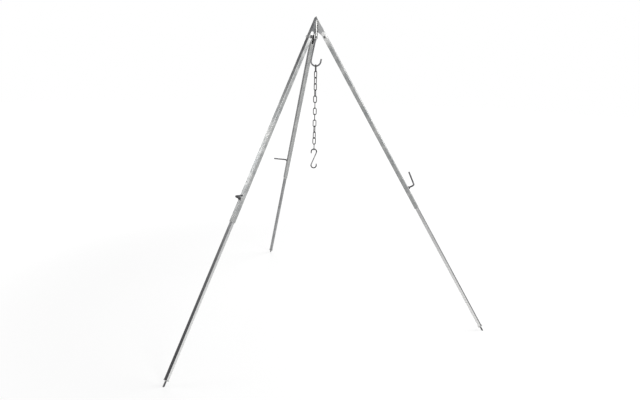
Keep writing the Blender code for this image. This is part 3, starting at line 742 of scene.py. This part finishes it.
for side in LEG_BEARINGS:
    bolt_place = leg_place(side) @ Matrix.Rotation(pi / 2, 4, "X")
    put(f"hex_bolt_{side}", [bolt_rows], bolt_place, bolt_painted_shadow, "head",
        f"pivot_bolt_{side}")
    put(f"flat_washer_{side}", [washer_rows(CHEEK_FACE, WASHER_FACE, BORE_RADIUS, WASHER_RADIUS)],
        bolt_place, nut_painted_highlight, "head", f"pivot_washer_{side}", closed=True)
    put(f"hex_nut_{side}", [nut_rows(NUT_NEAR, NUT_FAR)], bolt_place, nut_painted_highlight, "head",
        f"pivot_nut_{side}", closed=True)

# ---------------------------------------------------------------------------------------------
# Clamps: a nut welded on the upper tube's outer wall, and an M8 rod bent to an L. Its threaded
# end goes through the nut and presses on the lower tube.

CLAMP_HEIGHT = -0.813
CLAMP_NUT_NEAR = 0.0103
CLAMP_NUT_FAR = 0.0168
SCREW_START = 0.0083
SCREW_THREAD_END = 0.0270
SCREW_ARM_AT = 0.041
SCREW_BEND = 0.008
SCREW_ARMS = {"left": (0.042, radians(74)), "right": (0.088, radians(50)),
              "rear": (0.076, radians(80))}
SCREW_COLUMNS = 32
NUT_BEAD_RADIUS = 0.0074
NUT_BEAD_ABOVE = 0.0002
NUT_BEAD = 0.0012
NUT_BEAD_COLUMNS = 144
SCREW_DEEP = (0.045, 0.045, 0.05, 1)
SCREW_PALE = (0.14, 0.14, 0.145, 1)


def bend(centre, radius, start, end, count):
    """Points on an arc in the XZ plane."""
    turn = np.linspace(start, end, count)
    return np.stack([centre[0] + radius * np.cos(turn), 0 * turn,
                     centre[1] + radius * np.sin(turn)], axis=-1)


def clamp_screw_rows(length):
    """The L-shaped screw: its thread, its plain neck, its bend and its arm with a cut end."""
    run = np.linspace(SCREW_START, SCREW_THREAD_END, 160)
    neck = np.linspace(SCREW_THREAD_END + 0.001, SCREW_ARM_AT - SCREW_BEND - 0.0005, 6)
    corner = bend((SCREW_ARM_AT - SCREW_BEND, SCREW_BEND), SCREW_BEND, -pi / 2, 0, 22)
    arm = np.linspace(SCREW_BEND + 0.002, length - 0.0007, 16)
    straight = np.concatenate([run, neck])
    path = np.concatenate([
        np.column_stack([straight, 0 * straight, 0 * straight]), corner,
        np.column_stack([0 * arm + SCREW_ARM_AT, 0 * arm, arm]),
        [(SCREW_ARM_AT, 0, length)]])
    radius = np.full((len(path), SCREW_COLUMNS), BOLT_RADIUS)
    radius[:len(run)] = thread_radius(run, SCREW_COLUMNS, BOLT_RADIUS)
    radius[0] = BOLT_RADIUS * 0.7
    radius[-1] = BOLT_RADIUS * 0.82
    return along_path(path, (0, 1, 0), radius, SCREW_COLUMNS)


# The nut's bead runs halfway between its hexagon and a circle.
nut_bead_radii = (hexagon_radius(NUT_BEAD_COLUMNS) + NUT_BEAD_RADIUS) / 2
screw_finish = galvanised("dark_screw_steel", SCREW_DEEP, SCREW_PALE, 0.42, metallic=0.6,
                          crystal=0.004, frost_and_shade=0.15)
for side, (arm_length, arm_turn) in SCREW_ARMS.items():
    nut_place = (leg_place(side) @ Matrix.Translation((0, 0, CLAMP_HEIGHT))
                 @ Matrix.Rotation(pi / 2, 4, "Y"))
    put(f"welded_nut_{side}", [nut_rows(CLAMP_NUT_NEAR, CLAMP_NUT_FAR)], nut_place, screw_finish,
        f"leg_{side}", f"clamp_nut_{side}", closed=True)
    put(f"nut_weld_{side}",
        [ring_bead(nut_bead_radii, CLAMP_NUT_NEAR + NUT_BEAD_ABOVE, NUT_BEAD)],
        nut_place, weld_finish, f"leg_{side}", closed=True)
    screw_place = (leg_place(side) @ Matrix.Translation((0, 0, CLAMP_HEIGHT))
                   @ Matrix.Rotation(-arm_turn, 4, "X"))
    put(f"bent_screw_{side}", [clamp_screw_rows(arm_length)], screw_place, screw_finish,
        f"screw_{side}", f"clamp_screw_{side}")

# ---------------------------------------------------------------------------------------------
# Feet: a washer under the tube's end and a pin welded through it, cut off level. The pin's
# square plug is driven into the tube.

FOOT_PIN_RADIUS = 0.004
FOOT_WASHER_RADIUS = 0.012
FOOT_WASHER_THICKNESS = 0.002
FOOT_GAP = 0.0003
FOOT_BEAD_OUT = 0.0004
FOOT_BEAD_BELOW = 0.0003
FOOT_BEAD = 0.0012
PLUG_HALF = 0.0065
PLUG_CORNER = 0.0012
PLUG_LENGTH = 0.014
PLUG_EASE = 0.0004
PIN_DEEP = (0.06, 0.06, 0.065, 1)
PIN_PALE = (0.20, 0.20, 0.205, 1)
FLANGE_DEEP = (0.42, 0.42, 0.42, 1)
FLANGE_PALE = (0.68, 0.68, 0.67, 1)


def plug_rows(low, high):
    """The square plug, its edges eased at both ends."""
    return square_rows(PLUG_HALF, PLUG_CORNER, [
        (PLUG_EASE, low), (0, low + PLUG_EASE), (0, high - PLUG_EASE), (PLUG_EASE, high)])


def pin_rows(place, top):
    """The pin: rows down to the floor. A point that would pass the floor stops on it."""
    rows = turned([(top - step, FOOT_PIN_RADIUS * size)
                   for step, size in ((0, 1), (0.01, 1), (0.02, 1), (0.028, 1), (0.045, 1),
                                      (0.0452, 0.8))][::-1], 32)
    turn = np.array(place)
    level = rows @ turn[2, :3] + turn[2, 3]
    rows[..., 2] += np.clip(-level, 0, None) / turn[2, 2]
    return rows


pin_finish = galvanised("worn_pin_steel", PIN_DEEP, PIN_PALE, 0.4, crystal=0.004, frost_and_shade=0.3)
flange_finish = galvanised("foot_flange_zinc", FLANGE_DEEP, FLANGE_PALE, 0.4, crystal=0.004,
                           frost_and_shade=0.3)
washer_high = INNER_FROM - FOOT_GAP
washer_low = washer_high - FOOT_WASHER_THICKNESS
for side in LEG_BEARINGS:
    foot_place = leg_place(side)
    put(f"foot_flange_{side}", [washer_rows(washer_low, washer_high, BORE_RADIUS,
                                            FOOT_WASHER_RADIUS, 0.0004)],
        foot_place, flange_finish, f"extension_{side}", f"foot_washer_{side}",
        closed=True)
    put(f"foot_weld_{side}",
        [ring_bead(np.full(RING_COLUMNS, FOOT_PIN_RADIUS + FOOT_BEAD_OUT),
                   washer_low - FOOT_BEAD_BELOW, FOOT_BEAD)],
        foot_place, weld_finish, f"extension_{side}", closed=True)
    put(f"foot_spike_{side}", [plug_rows(INNER_FROM, INNER_FROM + PLUG_LENGTH),
                               pin_rows(foot_place, INNER_FROM + PLUG_LENGTH / 2)],
        foot_place, pin_finish, f"extension_{side}", f"foot_pin_{side}")

# ---------------------------------------------------------------------------------------------
# Hook: a rod of 7.6 mm, hammered flat to an eye at the top and bent to a bowl at the foot. It
# hangs tilted, so that the chain's weight lies under its rivet.

HOOK_TILT = radians(11.3)
HOOK_ROD_RADIUS = 0.0038
HOOK_SHANK = 0.104
HOOK_BOWL = 0.0230
HOOK_TIP = 0.015
HOOK_START = 0.0045
FLAT_HALF_WIDTH = 0.0049
FLAT_FROM = 0.024
FLAT_RUN = 0.012
EYE_RADIUS = 0.0065
EYE_BORE = 0.0033
EYE_HALF = 0.0025
ROD_DEEP = (0.08, 0.08, 0.085, 1)
ROD_PALE = (0.26, 0.26, 0.265, 1)


def rod_end(radius, steps=4):
    """How a cut end's edge is rounded: distances back from the end, and radii, as a quarter arc."""
    turn = np.linspace(0, pi / 2, steps)
    ease = radius * 0.35
    return ease * (1 - np.sin(turn)), radius - ease * (1 - np.cos(turn))


def hook_rows(cols=28):
    """The hook's rod. Near the eye its section goes from a circle to a flat bar with round edges.

    The section is a power curve: each half width times a power of the cosine or sine, and the
    power falls from one at the circle towards one half at the bar.
    """
    shank = np.linspace(-HOOK_START, -HOOK_SHANK, 60)
    bowl = bend((HOOK_BOWL, -HOOK_SHANK), HOOK_BOWL, pi, 2 * pi, 48)[1:]
    back, end_radius = rod_end(HOOK_ROD_RADIUS)
    tip = np.concatenate([[-HOOK_SHANK + 0.005], -HOOK_SHANK + HOOK_TIP - back])
    path = np.concatenate([np.column_stack([0 * shank, 0 * shank, shank]), bowl,
                           np.column_stack([0 * tip + 2 * HOOK_BOWL, 0 * tip, tip])])
    size = np.full(len(path), HOOK_ROD_RADIUS)
    size[-len(end_radius):] = end_radius
    flat = np.zeros(len(path))
    flat[:len(shank)] = np.clip((shank + FLAT_FROM) / FLAT_RUN, 0, 1)
    flat = flat * flat * (3 - 2 * flat)
    wide = size + (FLAT_HALF_WIDTH - size) * flat
    thin = size + (EYE_HALF - size) * flat
    power = 1 - 0.45 * flat
    turn = around(cols)
    ahead = np.gradient(path, axis=0)
    ahead = ahead / np.linalg.norm(ahead, axis=1, keepdims=True)
    across = np.array([0, 1.0, 0])
    beside = np.cross(across, ahead)
    first = np.sign(np.cos(turn)) * np.abs(np.cos(turn)) ** power[:, None] * wide[:, None]
    second = np.sign(np.sin(turn)) * np.abs(np.sin(turn)) ** power[:, None] * thin[:, None]
    return path[:, None, :] + first[..., None] * beside[:, None, :] + second[..., None] * across


def eye_rows():
    """The flattened eye: a ring about Y with its edges rounded by the hammer."""
    ease = 0.0009
    rows = turned([(-EYE_HALF + ease, EYE_RADIUS), (EYE_HALF - ease, EYE_RADIUS),
                   (EYE_HALF - ease * 0.3, EYE_RADIUS - ease * 0.3),
                   (EYE_HALF, EYE_RADIUS - ease), (EYE_HALF, EYE_BORE + ease * 0.5),
                   (EYE_HALF - ease * 0.5, EYE_BORE), (-EYE_HALF + ease * 0.5, EYE_BORE),
                   (-EYE_HALF, EYE_BORE + ease * 0.5), (-EYE_HALF, EYE_RADIUS - ease),
                   (-EYE_HALF + ease * 0.3, EYE_RADIUS - ease * 0.3)], 48)
    return rows[..., [0, 2, 1]][:, ::-1]


rod_finish = galvanised("zinc_rod", ROD_DEEP, ROD_PALE, 0.38, metallic=0.6, crystal=0.005,
                        frost_and_shade=0.2)
tilted_place = hook_place @ Matrix.Rotation(HOOK_TILT, 4, "Y")
put("bent_hook", [hook_rows()], tilted_place, rod_finish, "hook", "j_hook")
put("hook_eye", [eye_rows()], tilted_place, rod_finish, "hook", closed=True)

# ---------------------------------------------------------------------------------------------
# Chain: fourteen links of 4 mm wire. Each is bent round and closed by a butt weld in the middle
# of one side, which leaves the wire a little thicker there.

LINK_COUNT = 14
LINK_WIRE = 0.002
LINK_END = 0.007
LINK_SPAN = 0.0331
FIRST_SEAT = 0.0061
LINK_SEAT = 0.0043
TWIST_AT = (1, 2, 4, 6, 10, 14)
TWISTS = (-15, -40, -40, 0, 0, 90)
CHAIN_DEEP = (0.02, 0.02, 0.022, 1)
CHAIN_PALE = (0.10, 0.10, 0.103, 1)


def link_rows(seat):
    """A link's wire round its closed centre line: two half circles and two straight sides."""
    top, low = seat - LINK_END, seat - LINK_SPAN + LINK_END
    side = np.linspace(top, low, 17)[1:-1]
    path = np.concatenate([
        bend((0, top), LINK_END, 0, pi, 21),
        np.column_stack([0 * side - LINK_END, 0 * side, side]),
        bend((0, low), LINK_END, pi, 2 * pi, 21),
        np.column_stack([0 * side + LINK_END, 0 * side, side[::-1]])])
    weld = np.exp(-((path[:, 2] - (top + low) / 2) / 0.0011) ** 2) * (path[:, 0] > 0)
    return along_path(path, (0, 1, 0), LINK_WIRE * (1 + 0.13 * weld), 16, closed=True)


def link_turn(number):
    """Links lie crosswise in turn, and the chain is twisted a little at its top and foot."""
    return HOOK_TURN + pi / 2 * number + radians(float(np.interp(number, TWIST_AT, TWISTS)))


bowl_along = HOOK_BOWL * cos(HOOK_TILT) - HOOK_SHANK * sin(HOOK_TILT)
bowl_drop = HOOK_BOWL * sin(HOOK_TILT) + HOOK_SHANK * cos(HOOK_TILT) + HOOK_BOWL
chain_at = axis_at + Vector((bowl_along * cos(HOOK_TURN), bowl_along * sin(HOOK_TURN),
                             HOOK_PIN_HEIGHT - bowl_drop))
chain_finish = galvanised("zinc_chain", CHAIN_DEEP, CHAIN_PALE, 0.36, metallic=0.6,
                          crystal=0.003, frost_and_shade=0.2)
seat = FIRST_SEAT
for number in range(1, LINK_COUNT + 1):
    link_place = Matrix.Translation(chain_at) @ Matrix.Rotation(link_turn(number), 4, "Z")
    put(f"wire_link_{number:02d}", [link_rows(seat)], link_place, chain_finish,
        f"link_{number:02d}", f"chain_link_{number:02d}", closed=True)
    chain_at = chain_at + Vector((0, 0, seat - LINK_SPAN))
    seat = LINK_SEAT

# ---------------------------------------------------------------------------------------------
# S-hook: a rod of 6 mm bent to two half circles, with its two ends cut and rounded. The pot's
# handle hangs in the lower one. It is coloured darker at its two bends.

S_ROD = 0.003
S_BEND = 0.013
S_CENTRES_APART = 0.0686
S_TIP = 0.009
S_TOP = LINK_WIRE + 0.0003 + S_ROD - S_BEND
S_BENT_FROM = 0.027
S_BENT_TO = 0.036
S_HOOK_DEEP = (0.15, 0.15, 0.155, 1)
S_HOOK_PALE = (0.46, 0.46, 0.465, 1)
S_HOOK_BENT = (0.03, 0.03, 0.033, 1)


def s_hook_rows():
    """The S-hook's rod: a tip, a half circle, a slanting shank, a half circle and a tip."""
    slant = asin(2 * S_BEND / S_CENTRES_APART)
    low = S_TOP - S_CENTRES_APART
    upper = bend((0, S_TOP), S_BEND, pi, -slant, 40)
    lower = bend((0, low), S_BEND, pi - slant, 2 * pi, 40)
    shank = upper[-1] + np.linspace(0, 1, 14)[1:-1, None] * (lower[0] - upper[-1])
    back, end_radius = rod_end(S_ROD)
    first = np.concatenate([S_TOP - S_TIP + back[::-1], [S_TOP - 0.003]])
    last = np.concatenate([[low + 0.003], low + S_TIP - back])
    path = np.concatenate([
        np.column_stack([0 * first - S_BEND, 0 * first, first]), upper, shank, lower,
        np.column_stack([0 * last + S_BEND, 0 * last, last])])
    size = np.full(len(path), S_ROD)
    size[:len(end_radius)] = end_radius[::-1]
    size[-len(end_radius):] = end_radius
    return along_path(path, (0, 1, 0), size, 24)


s_hook_place = (Matrix.Translation(chain_at)
                @ Matrix.Rotation(link_turn(LINK_COUNT) + pi / 2, 4, "Z"))
s_hook_finish = galvanised("zinc_s_hook", S_HOOK_DEEP, S_HOOK_PALE, 0.36, metallic=0.6,
                           crystal=0.005, frost_and_shade=0.2,
                           bends=(S_TOP - S_CENTRES_APART / 2, S_BENT_FROM, S_BENT_TO,
                                  S_HOOK_BENT))
put("bent_s_hook", [s_hook_rows()], s_hook_place, s_hook_finish, "s_hook", "s_hook")
